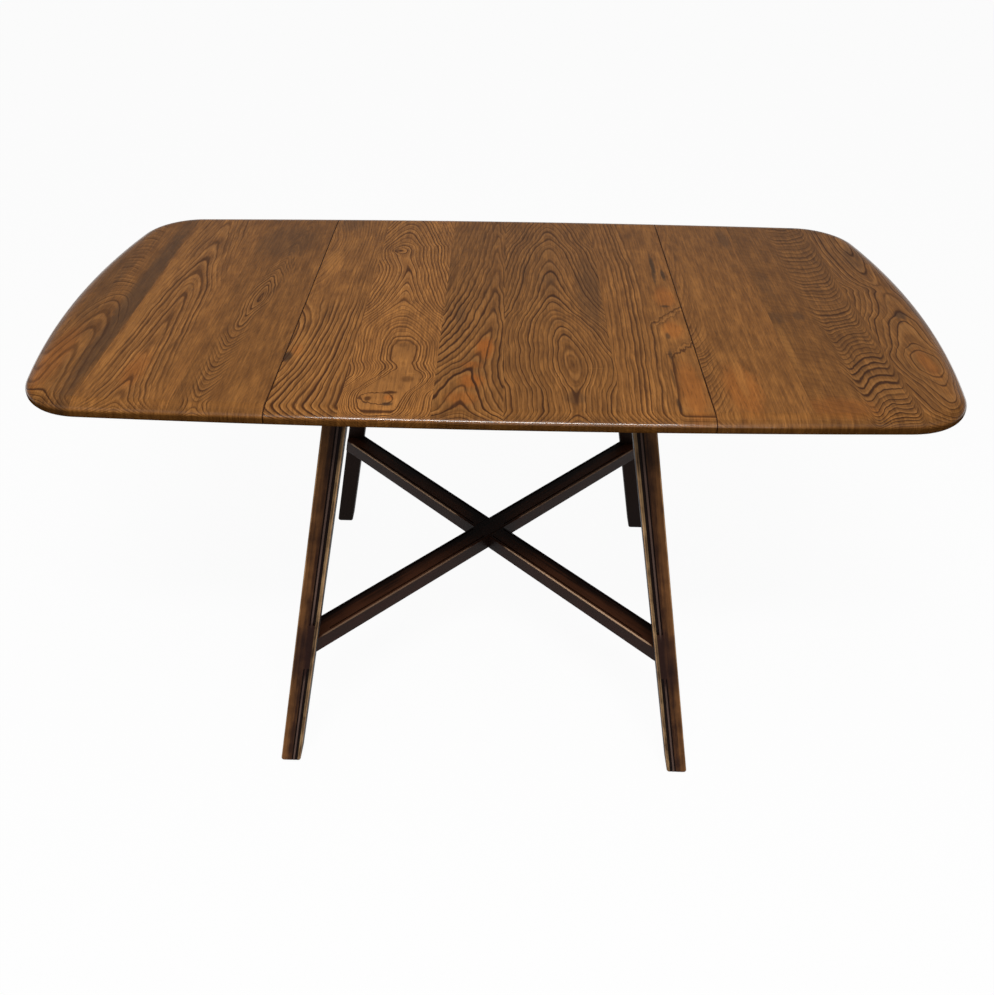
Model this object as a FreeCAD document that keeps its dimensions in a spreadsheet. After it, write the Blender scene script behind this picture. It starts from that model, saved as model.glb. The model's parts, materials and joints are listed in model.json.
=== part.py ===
import FreeCAD, Part
import math
import os
import re
import Sketcher

# Drop-leaf dining table in dark stained elm, with both leaves raised.
# Frame: +Z up, +X along the length, -Y towards the front, origin on the floor under the middle of the top.
# All lengths are in millimetres.

# Driving sizes
SIZES = {
    # The top, seen from above, and its edge; the shares hold its roundings to the slope and the side
    "table_height": 720,
    "top_length": 1388,
    "top_depth": 756,
    "top_thickness": 21,
    "centre_width": 612,
    "end_bow": 48.7,
    "side_bow": 17.2,
    "corner_radius": 102,
    "edge_slope_width": 17,
    "edge_slope_drop": 7,
    "edge_brow_radius": 44,
    "edge_nose_radius": 8,
    "lower_edge_radius": 6,
    "brow_fit_share": 2.7,
    "nose_fit_share": 1.4,
    "leaf_gap": 0.8,
    "joint_ease": 0.9,
    # Glued boards as shares of their panel's width; the last board of each panel takes what is left
    "left_inner_board_share": 0.343,
    "left_middle_board_share": 0.351,
    "right_inner_board_share": 0.348,
    "right_middle_board_share": 0.382,
    "centre_far_left_board_share": 0.165,
    "centre_left_board_share": 0.207,
    "centre_middle_board_share": 0.16,
    "centre_right_board_share": 0.262,
    # Splayed, tapered legs with a stopped double groove on the outward face
    "leg_end_setback": 72.5,
    "leg_side_setback": 77,
    "leg_end_splay": 126,
    "leg_side_splay": 73,
    "leg_foot_width": 34.3,
    "leg_top_width": 35.5,
    "leg_foot_depth": 40,
    "leg_top_depth": 42,
    "leg_arris_radius": 3.5,
    "foot_radius": 6,
    "groove_inset": 5.5,
    "wide_groove": 4.5,
    "bead_width": 3.5,
    "narrow_groove": 2,
    "groove_depth": 3,
    "upper_groove_stop": 50,
    "lower_groove_stop": 10,
    # Diagonal stretchers halved over each other
    "stretcher_top": 250,
    "stretcher_width": 41,
    "stretcher_thickness": 29.4,
    "stretcher_arris_radius": 2,
    "stretcher_groove_inset": 4.5,
    "stretcher_groove_width": 2.5,
    "stretcher_groove_depth": 2,
    "groove_stop_at_leg": 36,
    "groove_stop_at_crossing": 6,
    "stretcher_tail": 26,
    "dowel_radius": 4,
    "dowel_in_leg": 14,
    "dowel_in_stretcher": 26,
    # Rails under the top, tenoned into the legs
    "rail_depth": 42,
    "rail_thickness": 22,
    "cross_rail_depth": 50,
    "cross_rail_thickness": 28,
    "bearer_thickness": 28,
    "tenon_length": 14,
    "tenon_thickness": 10,
    "tenon_shoulder": 8,
    # Pull-out lopers that carry the leaves
    "loper_width": 28,
    "loper_depth": 22,
    "loper_setback": 8,
    "loper_end_clearance": 6.25,
    "loper_tail": 12,
    "right_loper_inset": 65,
    "left_loper_inset": 103,
    "loper_end_radius": 5,
    "finger_groove_radius": 7,
    "finger_groove_inset": 26,
    "stop_peg_radius": 4,
    "stop_peg_drop": 12,
    "stop_peg_seat": 14,
    # Back-flap hinges under the joint lines
    "hinge_length": 50,
    "flap_width": 38,
    "flap_thickness": 2,
    "knuckle_radius": 3.2,
    "hinge_pin_radius": 1.6,
    "hinge_end_inset": 119,
    "hinge_screw_radius": 1.6,
    "hinge_screw_head_radius": 3.4,
    "hinge_screw_head_height": 1.8,
    "hinge_screw_length": 14,
    "hinge_screw_inset": 12,
    "hinge_screw_end_inset": 11,
    # Screws that hold the rails to the top and the stretchers together
    "top_screw_radius": 2.2,
    "top_screw_head_radius": 4.2,
    "top_screw_head_height": 2.4,
    "top_screw_length": 45,
    "top_screw_bite": 13,
    "cross_rail_screw_inset": 44,
    "rail_screw_inset": 88,
    "crossing_screw_length": 22,
    # Clearances, and the overrun of every cut
    "slide_gap": 0.3,
    "running_gap": 0.05,
    "joint_gap": 0.1,
    "stop_gap": 0.5,
    "overrun": 5,
}

# Sizes that follow from the driving ones
DERIVED = {
    "underside": "table_height - top_thickness",
    "edge_slope_foot": "table_height - edge_slope_drop",
    "edge_brow_fit": "min(edge_brow_radius; brow_fit_share * edge_slope_width)",
    "edge_side": "top_thickness - edge_slope_drop - lower_edge_radius",
    "edge_nose_fit": "min(edge_nose_radius; nose_fit_share * edge_side)",
    "half_centre": "centre_width / 2",
    "leaf_width": "top_length / 2 - half_centre",
    "left_inner_board_width": "left_inner_board_share * leaf_width",
    "left_middle_board_width": "left_middle_board_share * leaf_width",
    "right_inner_board_width": "right_inner_board_share * leaf_width",
    "right_middle_board_width": "right_middle_board_share * leaf_width",
    "centre_far_left_board_width": "centre_far_left_board_share * centre_width",
    "centre_left_board_width": "centre_left_board_share * centre_width",
    "centre_middle_board_width": "centre_middle_board_share * centre_width",
    "centre_right_board_width": "centre_right_board_share * centre_width",
    "end_radius": "((top_depth / 2) ^ 2 + end_bow ^ 2) / (2 * end_bow)",
    "side_radius": "((top_length / 2) ^ 2 + side_bow ^ 2) / (2 * side_bow)",
    "leg_top_inner_x": "half_centre - leg_end_setback - leg_top_width",
    "foot_inner_x": "leg_top_inner_x + leg_end_splay",
    "leg_top_outer_y": "top_depth / 2 - leg_side_setback",
    "foot_outer_y": "leg_top_outer_y + leg_side_splay",
    "stretcher_bottom": "stretcher_top - stretcher_thickness",
    "stretcher_middle": "stretcher_top - stretcher_thickness / 2",
    "rail_line_y": "leg_top_outer_y - leg_top_depth / 2",
    "cross_line_x": "leg_top_inner_x + leg_top_width / 2",
    "rail_bottom": "underside - rail_depth",
    "cross_rail_bottom": "underside - cross_rail_depth",
    "loper_top": "underside - slide_gap",
    "loper_bottom": "loper_top - loper_depth",
    "loper_outer_x": "half_centre - loper_setback",
    "loper_inner_x": "cross_rail_thickness / 2 + loper_end_clearance - cross_line_x",
    "stop_peg_x": "loper_inner_x + loper_tail",
    "hinge_place_y": "top_depth / 2 - hinge_end_inset",
    "cross_rail_screw_y": "leg_top_outer_y - leg_top_depth - cross_rail_screw_inset",
    "rail_screw_x": "leg_top_inner_x - rail_screw_inset",
    "right_loper_y": "cross_rail_screw_y - right_loper_inset",
    "left_loper_y": "cross_rail_screw_y - left_loper_inset",
    "hinge_axis_z": "underside - knuckle_radius - slide_gap",
    "knuckle_clear": "knuckle_radius + slide_gap",
    "knuckle_length": "hinge_length / 3",
    "flap_bottom": "underside - flap_thickness",
    "top_screw_head_z": "underside + top_screw_bite - top_screw_length",
}

X_AXIS = FreeCAD.Vector(1, 0, 0)
Y_AXIS = FreeCAD.Vector(0, 1, 0)
Z_AXIS = FreeCAD.Vector(0, 0, 1)
ORIGIN = FreeCAD.Vector(0, 0, 0)
QUARTER_TURN = 90
EIGHTH_TURN = 45

doc = FreeCAD.newDocument("drop_leaf_table")
sheet = doc.addObject("Spreadsheet::Sheet", "sizes")


def fill_sheet():
    """Write every size to the sheet, the derived ones as formulas of the driving ones."""
    cells = [(alias, str(value)) for alias, value in SIZES.items()]
    cells += [(alias, "=" + formula) for alias, formula in DERIVED.items()]
    for row, (alias, text) in enumerate(cells, start=1):
        sheet.set("A%d" % row, alias)
        sheet.set("B%d" % row, text)
        sheet.setAlias("B%d" % row, alias)
    doc.recompute()


fill_sheet()


def size(alias):
    """The present value of one cell."""
    return float(sheet.get(alias))


def in_sheet(formula):
    """A formula written in aliases, with each alias pointing at the sheet."""
    names = set(SIZES) | set(DERIVED)
    return re.sub(r"[A-Za-z_]\w*", lambda m: "sizes." + m[0] if m[0] in names else m[0], formula)


def bind(thing, formulas):
    """Bind properties of an object to formulas of the sheet."""
    for path, formula in formulas.items():
        thing.setExpression(path, in_sheet(formula))


def named_edges(feature, test):
    """Names of a shape's edges that pass a test."""
    doc.recompute()
    return ["Edge%d" % (i + 1) for i, edge in enumerate(feature.Shape.Edges) if test(edge)]


def fillet_list(edges, alias):
    """Entries of a fillet that rounds each named edge by one size."""
    return [(int(name[len("Edge"):]), size(alias), size(alias)) for name in edges]


# Primitives, each bound to the sheet
def box(name, x_range, y_range, z_range):
    block = doc.addObject("Part::Box", name)
    formulas = {}
    for side, letter, (low, high) in zip(("Length", "Width", "Height"), "xyz", (x_range, y_range, z_range)):
        formulas[side] = "(%s) - (%s)" % (high, low)
        formulas["Placement.Base." + letter] = low
    bind(block, formulas)
    return block


def taper_formulas(z_range, low, high):
    """Wedge sizes for x and y ranges that run straight from those at the foot to those at the top."""
    (x_low, y_low), (x_high, y_high) = low, high
    return {
        "Ymin": z_range[0], "Ymax": z_range[1],
        "Xmin": x_low[0], "Xmax": x_low[1], "X2min": x_high[0], "X2max": x_high[1],
        "Zmin": "0 - (%s)" % y_low[1], "Zmax": "0 - (%s)" % y_low[0],
        "Z2min": "0 - (%s)" % y_high[1], "Z2max": "0 - (%s)" % y_high[0],
    }


def tapered_block(name, z_range, low, high):
    """A wedge stood up, so that its own Y is the table's Z."""
    block = doc.addObject("Part::Wedge", name)
    block.Placement = FreeCAD.Placement(ORIGIN, FreeCAD.Rotation(X_AXIS, QUARTER_TURN))
    bind(block, taper_formulas(z_range, low, high))
    return block


def cylinder(name, radius, height, base, axis=Z_AXIS):
    rod = doc.addObject("Part::Cylinder", name)
    rod.Placement = FreeCAD.Placement(ORIGIN, FreeCAD.Rotation(Z_AXIS, axis))
    bind(rod, {"Radius": radius, "Height": height})
    bind(rod, dict(zip(("Placement.Base.x", "Placement.Base.y", "Placement.Base.z"), base)))
    return rod


def cone(name, radius_low, radius_high, height, z):
    solid = doc.addObject("Part::Cone", name)
    bind(solid, {"Radius1": radius_low, "Radius2": radius_high, "Height": height, "Placement.Base.z": z})
    return solid


# Combinations
def group(name, things):
    compound = doc.addObject("Part::Compound", name)
    compound.Links = things
    return compound


def fuse(name, things):
    joined = doc.addObject("Part::MultiFuse", name)
    joined.Shapes = things
    joined.Refine = True
    return joined


def cut(name, base, tools):
    result = doc.addObject("Part::Cut", name)
    result.Base = base
    result.Tool = tools[0] if len(tools) == 1 else group(name + "_cuts", tools)
    return result


def common(name, base, tool):
    result = doc.addObject("Part::Common", name)
    result.Base = base
    result.Tool = tool
    return result


def mirrored(name, source, normal):
    image = doc.addObject("Part::Mirroring", name)
    image.Source = source
    image.Base = ORIGIN
    image.Normal = normal
    return image


def turned(name, things, angle):
    """Things turned together about the table's upright middle line."""
    compound = group(name, things)
    compound.Placement = FreeCAD.Placement(ORIGIN, FreeCAD.Rotation(Z_AXIS, QUARTER_TURN))
    bind(compound, {"Placement.Rotation.Angle": angle})
    return compound


def spread(name, source, places):
    """Copies of one drawn piece at several places, as one group of separate solids."""
    doc.recompute()
    solids = []
    for place in places:
        for solid in source.Shape.Solids:
            solids.append(solid.translated(FreeCAD.Vector(*place)))
    copies = doc.addObject("Part::Feature", name)
    copies.Shape = Part.makeCompound(solids)
    return copies


# Sketches inside a body
def origin_plane(body, role):
    return next(plane for plane in body.Origin.OriginFeatures if plane.Role == role)


def flat_sketch(body, name, height):
    """An empty sketch on a level plane at a height."""
    sketch = body.newObject("Sketcher::SketchObject", name)
    sketch.AttachmentSupport = (origin_plane(body, "XY_Plane"), [""])
    sketch.MapMode = "FlatFace"
    bind(sketch, {"AttachmentOffset.Base.z": height})
    return sketch


def dimension(sketch, kind, name, formula, *points):
    """Add one named driving dimension, bound to a formula."""
    index = sketch.addConstraint(Sketcher.Constraint(kind, *points, 1))
    sketch.renameConstraint(index, name)
    bind(sketch, {"Constraints." + name: formula})


def centred_rectangle(body, name, height, width, depth):
    """A rectangle about the origin."""
    sketch = flat_sketch(body, name, height)
    unit = [FreeCAD.Vector(x, y, 0) for x, y in ((0, 0), (1, 0), (1, 1), (0, 1))]
    for i in range(4):
        sketch.addGeometry(Part.LineSegment(unit[i], unit[(i + 1) % 4]))
    for i in range(4):
        sketch.addConstraint(Sketcher.Constraint("Coincident", i, 2, (i + 1) % 4, 1))
        sketch.addConstraint(Sketcher.Constraint("Vertical" if i % 2 else "Horizontal", i))
    dimension(sketch, "DistanceX", "width", width, 0, 1, 0, 2)
    dimension(sketch, "DistanceY", "depth", depth, 1, 1, 1, 2)
    sketch.addConstraint(Sketcher.Constraint("Symmetric", 0, 1, 1, 2, -1, 1))
    return sketch


def round_edges(body, name, feature, radius, test):
    fillet = body.newObject("PartDesign::Fillet", name)
    fillet.Base = (feature, named_edges(feature, test))
    bind(fillet, {"Radius": radius})
    return fillet


# The whole top before it is cut into boards: four bowed sides, rounded corners, rounded edges
def bowed_sides(sketch):
    """Four arcs that meet at the corners, each bowed outwards."""
    end_radius = size("end_radius")
    side_radius = size("side_radius")
    end_centre = FreeCAD.Vector(size("top_length") / 2 - end_radius, 0, 0)
    side_centre = FreeCAD.Vector(0, size("top_depth") / 2 - side_radius, 0)
    between = side_centre - end_centre
    span = between.Length
    along = (end_radius ** 2 - side_radius ** 2 + span ** 2) / (2 * span)
    across = math.sqrt(end_radius ** 2 - along ** 2)
    direction = between / span
    corner = end_centre + direction * along + FreeCAD.Vector(-direction.y, direction.x, 0) * across
    end_half = math.atan2(corner.y, corner.x - end_centre.x)
    side_half = math.atan2(corner.x, corner.y - side_centre.y)
    # right end, back side, left end, front side, going round
    arcs = (
        (end_centre, end_radius, 0, end_half),
        (side_centre, side_radius, math.pi / 2, side_half),
        (end_centre * -1, end_radius, math.pi, end_half),
        (side_centre * -1, side_radius, 3 * math.pi / 2, side_half),
    )
    for centre, radius, middle, half in arcs:
        circle = Part.Circle(centre, Z_AXIS, radius)
        sketch.addGeometry(Part.ArcOfCircle(circle, middle - half, middle + half))
    for i in range(4):
        sketch.addConstraint(Sketcher.Constraint("Coincident", i, 2, (i + 1) % 4, 1))
        sketch.addConstraint(Sketcher.Constraint("PointOnObject", i, 3, -2 if i % 2 else -1))
    end_offset = "end_radius - top_length / 2"
    side_offset = "side_radius - top_depth / 2"
    for i, name in enumerate(("right_end", "back_side", "left_end", "front_side")):
        dimension(sketch, "Radius", name + "_radius", "side_radius" if i % 2 else "end_radius", i)
    dimension(sketch, "DistanceX", "right_end_offset", end_offset, 0, 3, -1, 1)
    dimension(sketch, "DistanceY", "back_side_offset", side_offset, 1, 3, -1, 1)
    dimension(sketch, "DistanceX", "left_end_offset", end_offset, -1, 1, 2, 3)
    dimension(sketch, "DistanceY", "front_side_offset", side_offset, -1, 1, 3, 3)


def at_height(edge, alias):
    """Whether an edge lies level at a height of the sheet."""
    nearness = size("leaf_gap") / 2
    return abs(edge.BoundBox.ZMin - size(alias)) < nearness and edge.BoundBox.ZLength < nearness


def make_top_blank():
    body = doc.addObject("PartDesign::Body", "top_blank")
    sketch = flat_sketch(body, "top_outline", "underside")
    bowed_sides(sketch)
    slab = body.newObject("PartDesign::Pad", "slab")
    slab.Profile = sketch
    bind(slab, {"Length": "top_thickness"})
    corners = round_edges(body, "rounded_corners", slab, "corner_radius",
                          lambda edge: edge.BoundBox.ZLength > size("top_thickness") / 2)
    slope = body.newObject("PartDesign::Chamfer", "edge_slope")
    slope.Base = (corners, named_edges(corners, lambda edge: at_height(edge, "table_height")))
    slope.ChamferType = "Two distances"
    bind(slope, {"Size": "edge_slope_drop", "Size2": "edge_slope_width"})
    brow = round_edges(body, "edge_brow", slope, "edge_brow_fit",
                       lambda edge: at_height(edge, "table_height"))
    nose = round_edges(body, "edge_nose", brow, "edge_nose_fit",
                       lambda edge: at_height(edge, "edge_slope_foot"))
    round_edges(body, "lower_edge", nose, "lower_edge_radius",
                lambda edge: at_height(edge, "underside"))
    return body


def ease_joints(blank):
    """Take a fine arris off both edges of each leaf joint, with a square bar laid on its corner."""
    side = "(leaf_gap / 2 + joint_ease) * sqrt(2)"
    bars = []
    for name, middle in (("left", "0 - half_centre"), ("right", "half_centre")):
        bar = box(name + "_joint_ease", ("0", side), ("0", "top_depth + 2 * overrun"), ("0", side))
        bar.Placement = FreeCAD.Placement(ORIGIN, FreeCAD.Rotation(Y_AXIS, EIGHTH_TURN))
        bind(bar, {
            "Placement.Base.x": "%s - leaf_gap / 2 - joint_ease" % middle,
            "Placement.Base.y": "0 - top_depth / 2 - overrun",
            "Placement.Base.z": "table_height",
        })
        bars.append(bar)
    return cut("eased_top", blank, bars)


# Boards of one panel, cut from the whole top at the glue lines
def make_boards(blank, panel, holes):
    """Each entry of the panel is a name and the formulas of the board's two x limits."""
    y_range = ("0 - top_depth / 2 - overrun", "top_depth / 2 + overrun")
    z_range = ("underside - overrun", "table_height + overrun")
    boards = []
    for name, x_low, x_high in panel:
        strip = box(name + "_strip", (x_low, x_high), y_range, z_range)
        plank = common(name + "_plank", blank, strip)
        boards.append(cut(name, plank, [holes]))
    return boards


CENTRE_PANEL = (
    ("centre_far_left_board", "leaf_gap / 2 - half_centre", "centre_far_left_board_width - half_centre"),
    ("centre_left_board", "centre_far_left_board_width - half_centre",
     "centre_far_left_board_width + centre_left_board_width - half_centre"),
    ("centre_middle_board", "centre_far_left_board_width + centre_left_board_width - half_centre",
     "centre_far_left_board_width + centre_left_board_width + centre_middle_board_width - half_centre"),
    ("centre_right_board",
     "centre_far_left_board_width + centre_left_board_width + centre_middle_board_width - half_centre",
     "centre_far_left_board_width + centre_left_board_width + centre_middle_board_width"
     " + centre_right_board_width - half_centre"),
    ("centre_far_right_board",
     "centre_far_left_board_width + centre_left_board_width + centre_middle_board_width"
     " + centre_right_board_width - half_centre",
     "half_centre - leaf_gap / 2"),
)

LEFT_PANEL = (
    ("left_leaf_inner_board", "0 - half_centre - left_inner_board_width", "0 - half_centre - leaf_gap / 2"),
    ("left_leaf_middle_board", "0 - half_centre - left_inner_board_width - left_middle_board_width",
     "0 - half_centre - left_inner_board_width"),
    ("left_leaf_outer_board", "0 - top_length / 2 - overrun",
     "0 - half_centre - left_inner_board_width - left_middle_board_width"),
)

RIGHT_PANEL = (
    ("right_leaf_inner_board", "half_centre + leaf_gap / 2", "half_centre + right_inner_board_width"),
    ("right_leaf_middle_board", "half_centre + right_inner_board_width",
     "half_centre + right_inner_board_width + right_middle_board_width"),
    ("right_leaf_outer_board", "half_centre + right_inner_board_width + right_middle_board_width",
     "top_length / 2 + overrun"),
)


# Legs: the back right one is drawn, the others are its mirror images
def along_leg(top, foot, height):
    """Formula of a leg size that runs straight from the foot to the top, at a height."""
    return "(%s + (%s - %s) * (%s) / underside)" % (foot, top, foot, height)


def leg_inner_x(height):
    return along_leg("leg_top_inner_x", "foot_inner_x", height)


def leg_outer_y(height):
    return along_leg("leg_top_outer_y", "foot_outer_y", height)


def leg_width(height):
    return along_leg("leg_top_width", "leg_foot_width", height)


def leg_depth(height):
    return along_leg("leg_top_depth", "leg_foot_depth", height)


def leg_inner_y(height):
    return "(%s - %s)" % (leg_outer_y(height), leg_depth(height))


def leg_section(height):
    x = leg_inner_x(height)
    return (x, "%s + %s" % (x, leg_width(height))), (leg_inner_y(height), leg_outer_y(height))


def groove_section(inset, width):
    """Section of a groove in the outward face, set in from the leg's inner edge."""
    def section(height):
        x = "%s + %s" % (leg_inner_x(height), inset)
        y = leg_outer_y(height)
        return (x, "%s + %s" % (x, width)), (y + " - groove_depth", y + " + overrun")
    return section


def leg_taper(name, heights, section):
    """A straight taper along the leg; section gives the x and y ranges at a height."""
    return tapered_block(name, heights, section(heights[0]), section(heights[1]))


def make_leg_blank():
    stick = leg_taper("leg_stick", ("0", "underside"), leg_section)
    rounded = doc.addObject("Part::Fillet", "leg_arrises")
    rounded.Base = stick
    long_edges = named_edges(stick, lambda edge: edge.BoundBox.ZLength > size("underside") / 2)
    foot_edges = named_edges(stick, lambda edge: edge.BoundBox.ZMax < size("foot_radius"))
    rounded.Edges = fillet_list(long_edges, "leg_arris_radius") + fillet_list(foot_edges, "foot_radius")
    runs = {
        "lower": ("0 - overrun", "stretcher_bottom - lower_groove_stop"),
        "upper": ("stretcher_top + upper_groove_stop", "underside + overrun"),
    }
    grooves = {
        "wide": groove_section("groove_inset", "wide_groove"),
        "narrow": groove_section("groove_inset + wide_groove + bead_width", "narrow_groove"),
    }
    cuts = [leg_taper("%s_%s_groove" % (run, kind), heights, section)
            for run, heights in runs.items() for kind, section in grooves.items()]
    return cut("leg_blank", rounded, cuts)


# Where a diagonal stretcher meets a leg: the middle of the leg's inward face
SEAT_X = "(%s + %s / 2)" % (leg_inner_x("stretcher_middle"), leg_width("stretcher_middle"))
SEAT_Y = leg_inner_y("stretcher_middle")
SEAT_REACH = "sqrt(%s ^ 2 + %s ^ 2)" % (SEAT_X, SEAT_Y)
STRETCHER_ANGLE = "atan2(%s; %s)" % (SEAT_Y, SEAT_X)


def make_dowels(name, gap):
    """Two dowels in line, one at each end of a stretcher laid along X, each grown by a gap."""
    rods = []
    for side, sign, axis in (("near", "0 - ", X_AXIS * -1), ("far", "", X_AXIS)):
        start = "%s(%s - dowel_in_stretcher - %s)" % (sign, SEAT_REACH, gap)
        length = "dowel_in_stretcher + dowel_in_leg + 2 * %s" % gap
        rods.append(cylinder("%s_%s" % (name, side), "dowel_radius + " + gap, length,
                             (start, "0", "stretcher_middle"), axis))
    return rods


def make_stretcher_bar():
    """One stretcher laid along X, longer than needed, with stopped grooves along its top."""
    body = doc.addObject("PartDesign::Body", "stretcher_bar")
    bar = body.newObject("PartDesign::Pad", "stretcher_stock")
    bar.Profile = centred_rectangle(body, "stretcher_plan", "stretcher_bottom",
                            "2 * (%s + stretcher_tail)" % SEAT_REACH, "stretcher_width")
    bind(bar, {"Length": "stretcher_thickness"})
    round_edges(body, "stretcher_arrises", bar, "stretcher_arris_radius",
                lambda edge: edge.BoundBox.XLength > size("stretcher_width") * 2)
    grooves = []
    start = "stretcher_width / 2 + groove_stop_at_crossing"
    stop = "(%s - groove_stop_at_leg)" % SEAT_REACH
    edge_in = "stretcher_width / 2 - stretcher_groove_inset"
    z_range = ("stretcher_top - stretcher_groove_depth", "stretcher_top + overrun")
    for end, x_range in (("left", ("0 - " + stop, "0 - (%s)" % start)), ("right", (start, stop))):
        grooves.append(box("front_groove_" + end, x_range,
                           ("0 - (%s)" % edge_in, "stretcher_groove_width - (%s)" % edge_in), z_range))
        grooves.append(box("back_groove_" + end, x_range,
                           ("%s - stretcher_groove_width" % edge_in, edge_in), z_range))
    return cut("grooved_bar", body, grooves)


def make_stretchers(legs, screw_holes):
    """Two stretchers halved at the crossing, seated round the inner corners of the legs."""
    bar = make_stretcher_bar()
    reach = "%s + stretcher_tail" % SEAT_REACH
    half_width = "stretcher_width / 2 + joint_gap"
    across = ("0 - (%s)" % half_width, half_width)
    heights = ("stretcher_bottom - overrun", "stretcher_top + overrun")
    low, high = ((("0 - " + outer, outer), ("0 - top_depth", "top_depth")) for outer in
                 ("(%s + %s)" % (leg_inner_x(height), leg_width(height)) for height in heights))
    span = tapered_block("outer_leg_faces", heights, low, high)
    halves = {
        "upper_stretcher": (1, ("stretcher_bottom - overrun", "stretcher_middle")),
        "lower_stretcher": (-1, ("stretcher_middle", "stretcher_top + overrun")),
    }
    pieces = []
    for name, (sign, lap_heights) in halves.items():
        angle = "%d * %s" % (sign, STRETCHER_ANGLE)
        lap = box(name + "_lap", ("0 - (%s)" % reach, reach), across, lap_heights)
        crossing = turned(name + "_crossing", [lap], "-2 * (%s)" % angle)
        halved = cut(name + "_halved", bar, [crossing])
        placed = turned(name + "_placed", [halved], angle)
        flush = common(name + "_flush", placed, span)
        bores = turned(name + "_bores", make_dowels(name + "_bore", "joint_gap"), angle)
        pieces.append(cut(name, flush, legs[sign] + [bores, screw_holes]))
    return pieces


# Screws stand head down along Z with the head's flat face at z = 0
def make_screw(name, prefix, length, gap="0"):
    """A countersunk screw, or the hole that it fits where a gap is given."""
    head = cone(name + "_head", "%s_head_radius + %s" % (prefix, gap), "%s_radius + %s" % (prefix, gap),
                "%s_head_height" % prefix, "0")
    shank = cylinder(name + "_shank", "%s_radius + %s" % (prefix, gap), "%s + %s" % (length, gap),
                     ("0", "0", "0"))
    if gap == "0":
        return fuse(name, [head, shank])
    well = cylinder(name + "_well", "%s_head_radius + %s" % (prefix, gap), "cross_rail_depth",
                    ("0", "0", "0 - cross_rail_depth"))
    return fuse(name, [head, shank, well])


# Back-flap hinges: the right-hand one at the middle is drawn, with its pin along Y on the joint line
def hinge_flap(name, side, bands):
    """One flap with its knuckles; side is -1 under the centre and 1 under the leaf."""
    half = "hinge_length / 2"
    near = "half_centre + %d * knuckle_clear" % side
    far = "half_centre + %d * flap_width" % side
    x_range = (near, far) if side > 0 else (far, near)
    z_range = ("flap_bottom", "underside")
    solids = [box(name + "_plate", x_range, ("0 - " + half, half), z_range)]
    for i, (low, high) in enumerate(bands):
        barrel = "%s_knuckle_%d" % (name, i)
        tab_range = ("half_centre", near) if side > 0 else (near, "half_centre")
        solids.append(box(barrel + "_tab", tab_range, (low, high), z_range))
        solids.append(cylinder(barrel, "knuckle_radius", "(%s) - (%s)" % (high, low),
                               ("half_centre", low, "hinge_axis_z"), Y_AXIS))
    bore = cylinder(name + "_bore", "hinge_pin_radius + running_gap", "hinge_length + 2 * overrun",
                    ("half_centre", "0 - hinge_length / 2 - overrun", "hinge_axis_z"), Y_AXIS)
    return cut(name, fuse(name + "_solid", solids), [bore])


def screw_places(side):
    """Where the screws of one flap stand, for every hinge of the right-hand leaf."""
    x = size("half_centre") + side * (size("flap_width") - size("hinge_screw_inset"))
    end = size("hinge_length") / 2 - size("hinge_screw_end_inset")
    return [(x, place + y, size("flap_bottom")) for place in hinge_places() for y in (-end, end)]


def hinge_places():
    return (-size("hinge_place_y"), 0, size("hinge_place_y"))


def make_hinges():
    """Flaps, pins, screws and screw holes for both leaves, each kind as a group of separate solids."""
    half = "hinge_length / 2"
    third = "knuckle_length / 2"
    fixed_bands = (("0 - " + half, "0 - %s - slide_gap" % third), (third + " + slide_gap", half))
    moving_bands = (("0 - " + third, third),)
    screw = make_screw("hinge_screw", "hinge_screw", "hinge_screw_length")
    hole = make_screw("hinge_screw_hole", "hinge_screw", "hinge_screw_length", "running_gap")
    pin = cylinder("hinge_pin", "hinge_pin_radius", "hinge_length",
                   ("half_centre", "0 - " + half, "hinge_axis_z"), Y_AXIS)
    places = [(0, y, 0) for y in hinge_places()]
    groups = {"pins": spread("right_hinge_pins", pin, places)}
    for kind, side, bands in (("fixed", -1, fixed_bands), ("moving", 1, moving_bands)):
        flap = hinge_flap(kind + "_flap", side, bands)
        holes = spread(kind + "_flap_screw_holes", hole, screw_places(side))
        flaps = spread(kind + "_flap_set", flap, places)
        groups[kind + "_flaps"] = cut("right_hinge_%s_flaps" % kind, flaps, [holes])
        groups[kind + "_holes"] = holes
        groups[kind + "_screws"] = spread("right_%s_flap_screws" % kind, screw, screw_places(side))
    return groups


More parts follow.
